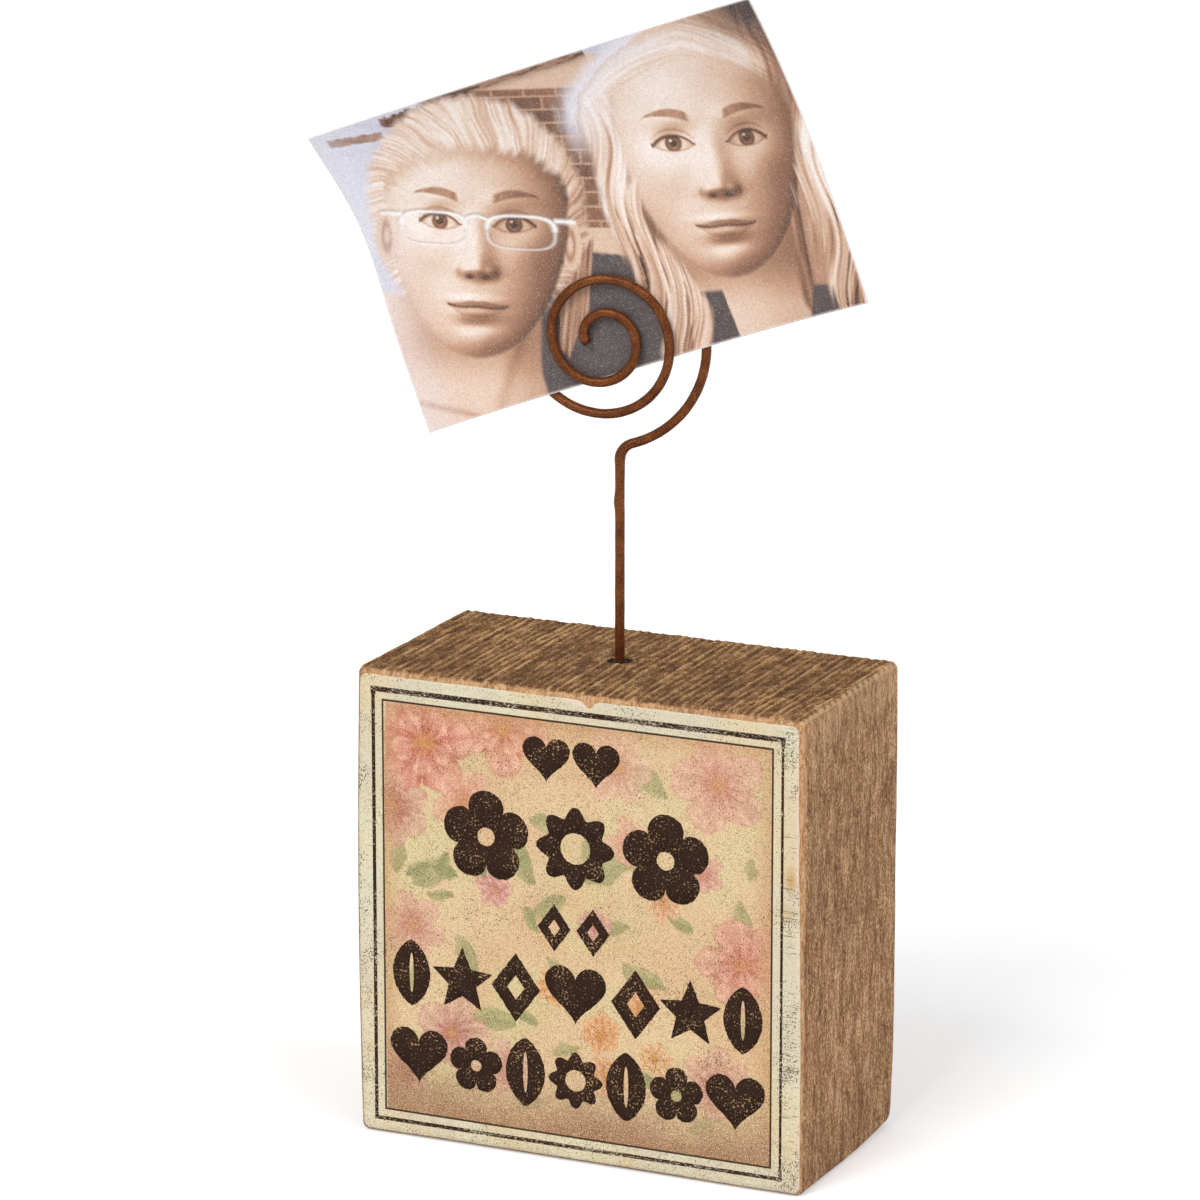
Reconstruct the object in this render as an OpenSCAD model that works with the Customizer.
// Photo block: a small wooden block with a paper face, and a wire stem that ends in a flat
// spiral and holds a photo card. Millimetres. The origin is the middle of the block's
// underside, +Z is up, and the paper face looks to -Y.

/* [Block] */
// Width of the wooden block
block_w = 76.2; // [50:0.1:120]
// Depth of the wooden block, front to back
block_d = 38.1; // [25:0.1:70]
// Height of the wooden block
block_h = 76.2; // [50:0.1:120]
// Radius to which the block's edges are sanded
edge_r = 1.4; // [0.6:0.1:2.4]

/* [Paper face] */
// Thickness of the printed paper glued to the front
label_t = 0.2; // [0.1:0.05:0.5]
// Radius of the paper's corners
label_corner_r = 1; // [0.3:0.1:2]
// Width of the chip torn from the paper's top edge
chip_w = 3; // [1:0.1:6]
// Depth of that chip
chip_d = 0.9; // [0.3:0.1:2]
// Place of that chip to the right of the paper's middle
chip_x = 2.2; // [-20:0.1:20]

/* [Hole and glue] */
// Diameter of the hole drilled for the wire
hole_d = 4.4; // [3:0.1:7]
// Depth of that hole
hole_depth = 22; // [12:0.5:40]
// Place of the hole to the left of the block's middle
hole_left = 1.61; // [-8:0.01:8]
// Place of the hole behind the block's middle
hole_back = 0.75; // [-5:0.01:5]
// Depth of the glue's dished top below the top of the block
glue_dip = 0.7; // [0.2:0.1:2]
// Height by which the glue climbs up the wire
glue_climb = 0.5; // [0.2:0.1:1.5]

/* [Wire] */
// Diameter of the wire
wire_d = 1.6; // [1:0.1:2.2]
// Length of wire held in the hole
stem_in = 19; // [8:0.5:30]
// Length of the straight stem above the block
stem_h = 31.9; // [15:0.1:60]
// Radius of the sharp bend between the stem and the spiral
bend_r = 2.9; // [2:0.1:4]

/* [Spiral] */
// Radius of the spiral where it passes the middle's height on the right
spiral_r = 16.02; // [14:0.01:20]
// Step from one turn of the spiral to the next
spiral_step = 5.29; // [4.2:0.01:6]
// Angle at which the spiral starts, with 0 to the right and 90 up
spiral_from = -75.5; // [-80:0.5:-65]
// Angle at which the spiral's inner end is cut
spiral_to = 922; // [810:1:980]
// Angle at which the wire starts to cross from behind the card to its front
cross_from = 216; // [205:1:225]
// Angle at which it has crossed
cross_to = 359; // [350:1:370]
// Angle by which the spiral is turned about the stem, to the left of straight ahead
clip_turn = 8; // [-20:1:20]

/* [Photo card] */
// Width of the card along its long side
card_w = 76.2; // [65:0.1:100]
// Height of the card along its short side
card_h = 50.8; // [45:0.1:80]
// Thickness of the card
card_t = 0.3; // [0.2:0.05:0.5]
// Gap between the card and the wire on each side of it
card_gap = 0.1; // [0.05:0.05:0.3]
// Angle at which the card leans to the left in the spiral
card_tilt = 20; // [0:1:30]
// Depth to which the card's lower edge reaches below the spiral's middle
card_in = 5.98; // [3:0.01:7]
// Distance of the card's middle to the right of the spiral's middle
card_right = 6.44; // [-10:0.01:10]
// Radius to which the card's two sides curl forward
side_curl_r = 90; // [50:1:300]
// Radius to which the card's top curls forward
top_curl_r = 77; // [50:1:300]

/* [Hidden] */
$fn = 64;

// Overrun of every cut
cut = 1;
// Sides of the swept wire, and its rings along one turn and along the bend
wire_sides = 12;
rings_per_turn = 32;
bend_rings = 8;
// Grid of the card
card_cols = 30;
card_rows = 20;

wire_r = wire_d / 2;

// Spiral, in its own plane: u to the right of the stem, w up
function spiral_rad(a) = spiral_r - spiral_step * a / 360;
spiral_slope = -spiral_step * 180 / (360 * PI);
start_rad = spiral_rad(spiral_from);
start_rise = atan2(
    spiral_slope * sin(spiral_from) + start_rad * cos(spiral_from),
    spiral_slope * cos(spiral_from) - start_rad * sin(spiral_from));
// The bend turns from straight up to the direction in which the spiral starts
bend_to = 90 + start_rise;
bend_z = block_h + stem_h;
mid_u = bend_r * (1 + cos(bend_to)) - start_rad * cos(spiral_from);
mid_z = bend_z + bend_r * sin(bend_to) - start_rad * sin(spiral_from);

// The turns in front of the card stand this far before those behind it
spread = card_t + 2 * card_gap + wire_d;
function ease(q) = q <= 0 ? 0 : q >= 1 ? 1 : q * q * (3 - 2 * q);
function lead(a) = -spread * ease((a - cross_from) / (cross_to - cross_from));

spiral_rings = ceil((spiral_to - spiral_from) / 360 * rings_per_turn);
spiral_path = [for (i = [0:spiral_rings])
    let (a = spiral_from + (spiral_to - spiral_from) * i / spiral_rings)
    [mid_u + spiral_rad(a) * cos(a), lead(a), mid_z + spiral_rad(a) * sin(a)]];
bend_path = [for (i = [1:bend_rings - 1])
    let (a = 180 + (bend_to - 180) * i / bend_rings)
    [bend_r + bend_r * cos(a), 0, bend_z + bend_r * sin(a)]];
// The sweep starts a little way down inside the round stem, where it is slightly slimmer
lap_share = 0.97;
wire_path = concat([[0, 0, bend_z - wire_r]], bend_path, spiral_path);

// Least gap between two turns of the wire, over 0.4
half_turn = rings_per_turn / 2;
turn_gap = min([for (i = [0:spiral_rings - half_turn]) for (j = [i + half_turn:spiral_rings])
    norm(spiral_path[i] - spiral_path[j])]) - wire_d;
echo(str("Least gap between the turns of the wire: ", turn_gap, " mm"));

// Ring of points square to a path at its point i
function heading(path, i) =
    let (d = path[min(i + 1, len(path) - 1)] - path[max(i - 1, 0)]) d / norm(d);
function ring(path, i, r) =
    let (t = heading(path, i), n = cross([0, 1, 0], t), e = n / norm(n), b = cross(t, e))
    [for (k = [0:wire_sides - 1])
        path[i] + r * (cos(360 * k / wire_sides) * e + sin(360 * k / wire_sides) * b)];

// One closed tube swept along the path, slimmer at its first ring by the given share
module swept_wire(path, r, first_share) {
    last = len(path) - 1;
    points = [for (i = [0:last]) each ring(path, i, i == 0 ? r * first_share : r)];
    walls = [for (i = [0:last - 1]) for (k = [0:wire_sides - 1])
        let (a = i * wire_sides, m = (k + 1) % wire_sides)
        each [[a + k, a + wire_sides + k, a + m],
              [a + m, a + wire_sides + k, a + wire_sides + m]]];
    ends = [[for (k = [0:wire_sides - 1]) k],
            [for (k = [wire_sides - 1:-1:0]) last * wire_sides + k]];
    polyhedron(points, concat(walls, ends), convexity = 10);
}

// Moves a shape from the spiral's plane, with the stem at its origin, to its place
module at_stem() {
    translate([-hole_left, hole_back, 0]) rotate([0, 0, clip_turn]) children();
}

// Flat rectangle with true round corners, about the origin
module round_rect(w, h, r) {
    square([w - 2 * r, h], center = true);
    square([w, h - 2 * r], center = true);
    for (x = [-1, 1]) for (y = [-1, 1])
        translate([x * (w / 2 - r), y * (h / 2 - r)]) circle(r);
}

module wood_block() {
    color("#7d5a3f")
    difference() {
        intersection() {
            linear_extrude(block_h) round_rect(block_w, block_d, edge_r);
            translate([0, block_d / 2, block_h / 2]) rotate([90, 0, 0])
                linear_extrude(block_d) round_rect(block_w, block_h, edge_r);
            translate([-block_w / 2, 0, block_h / 2]) rotate([90, 0, 90])
                linear_extrude(block_w) round_rect(block_d, block_h, edge_r);
        }
        translate([-hole_left, hole_back, block_h - hole_depth])
            cylinder(d = hole_d, h = hole_depth + cut);
    }
}

// The paper covers the flat of the front, up to the sanded edges
label_w = block_w - 2 * edge_r;
label_h = block_h - 2 * edge_r;
// Corners of the chip, from its middle at the paper's edge, as shares of its width and depth
chip_shares = [[-0.5, 0], [-0.3, -0.7], [-0.05, -0.5], [0.1, -1], [0.35, -0.6], [0.5, 0]];

module face_label() {
    chip = [for (p = chip_shares) [chip_x + p[0] * chip_w, label_h / 2 + p[1] * chip_d]];
    above = [[chip_x + chip_w, label_h / 2 + cut], [chip_x - chip_w, label_h / 2 + cut]];
    color("#e0d3ac")
    translate([0, -block_d / 2, block_h / 2]) rotate([90, 0, 0])
        linear_extrude(label_t) difference() {
            round_rect(label_w, label_h, label_corner_r);
            polygon(concat(chip, above));
        }
}

module wire_clip() {
    color("#6b3a22")
    at_stem() {
        translate([0, 0, block_h - stem_in]) cylinder(d = wire_d, h = stem_in + stem_h);
        swept_wire(wire_path, wire_r, lap_share);
    }
}

// The glue fills the hole round the wire, and its top is dished
module glue_plug() {
    dip = block_h - glue_dip;
    trough_share = 0.55;
    trough = wire_r + (hole_d / 2 - wire_r) * trough_share;
    color("#33241c")
    translate([-hole_left, hole_back, 0]) difference() {
        rotate_extrude() polygon([
            [0, block_h - hole_depth], [hole_d / 2, block_h - hole_depth],
            [hole_d / 2, dip + glue_dip / 2], [trough, dip],
            [wire_r, dip + glue_climb], [0, dip + glue_climb]]);
        translate([0, 0, block_h - stem_in]) cylinder(d = wire_d, h = stem_in + cut);
    }
}

// Width of the card that stays flat on each side of the spiral's middle, and the height
// above it at which the top starts to curl, so that the card slides through the spiral
flat_side = spiral_rad(cross_to) + wire_d;
flat_top = spiral_rad(cross_to);

// How far a bent sheet reaches along and across its plane, at the length a past the bend's start
function bent(a, r) = a <= 0 ? [0, 0] : [r * sin(a * 180 / (PI * r)), r * (1 - cos(a * 180 / (PI * r)))];

// Point of the card's middle surface: s along the long side and t along the short side, from
// the spiral's middle
function card_point(s, t, off) =
    let (side = bent(abs(s) - flat_side, side_curl_r), top = bent(t - flat_top, top_curl_r))
    [sign(s) * (min(abs(s), flat_side) + side[0]), off - side[1] - top[1],
     min(t, flat_top) + top[0]];

module photo_card() {
    cols = card_cols + 1;
    one_side = cols * (card_rows + 1);
    points = [for (off = [-card_t / 2, card_t / 2]) for (j = [0:card_rows]) for (i = [0:card_cols])
        card_point(card_right + card_w * (i / card_cols - 1 / 2), card_h * j / card_rows - card_in, off)];
    front = [for (j = [0:card_rows - 1]) for (i = [0:card_cols - 1])
        let (a = j * cols + i) each [[a, a + cols, a + 1], [a + 1, a + cols, a + cols + 1]]];
    back = [for (f = front) [f[0] + one_side, f[2] + one_side, f[1] + one_side]];
    // The grid's outline, taken round anticlockwise as the viewer sees it
    rim = concat([for (i = [0:card_cols]) i], [for (j = [1:card_rows]) j * cols + card_cols],
        [for (i = [card_cols - 1:-1:0]) card_rows * cols + i], [for (j = [card_rows - 1:-1:1]) j * cols]);
    edge = [for (k = [0:len(rim) - 1]) let (a = rim[k], b = rim[(k + 1) % len(rim)])
        each [[a, b, a + one_side], [b, b + one_side, a + one_side]]];
    color("#c9a98a")
    at_stem() translate([mid_u, -spread / 2, mid_z]) rotate([0, -card_tilt, 0])
        polyhedron(points, concat(front, back, edge), convexity = 4);
}

wood_block();
face_label();
wire_clip();
glue_plug();
photo_card();
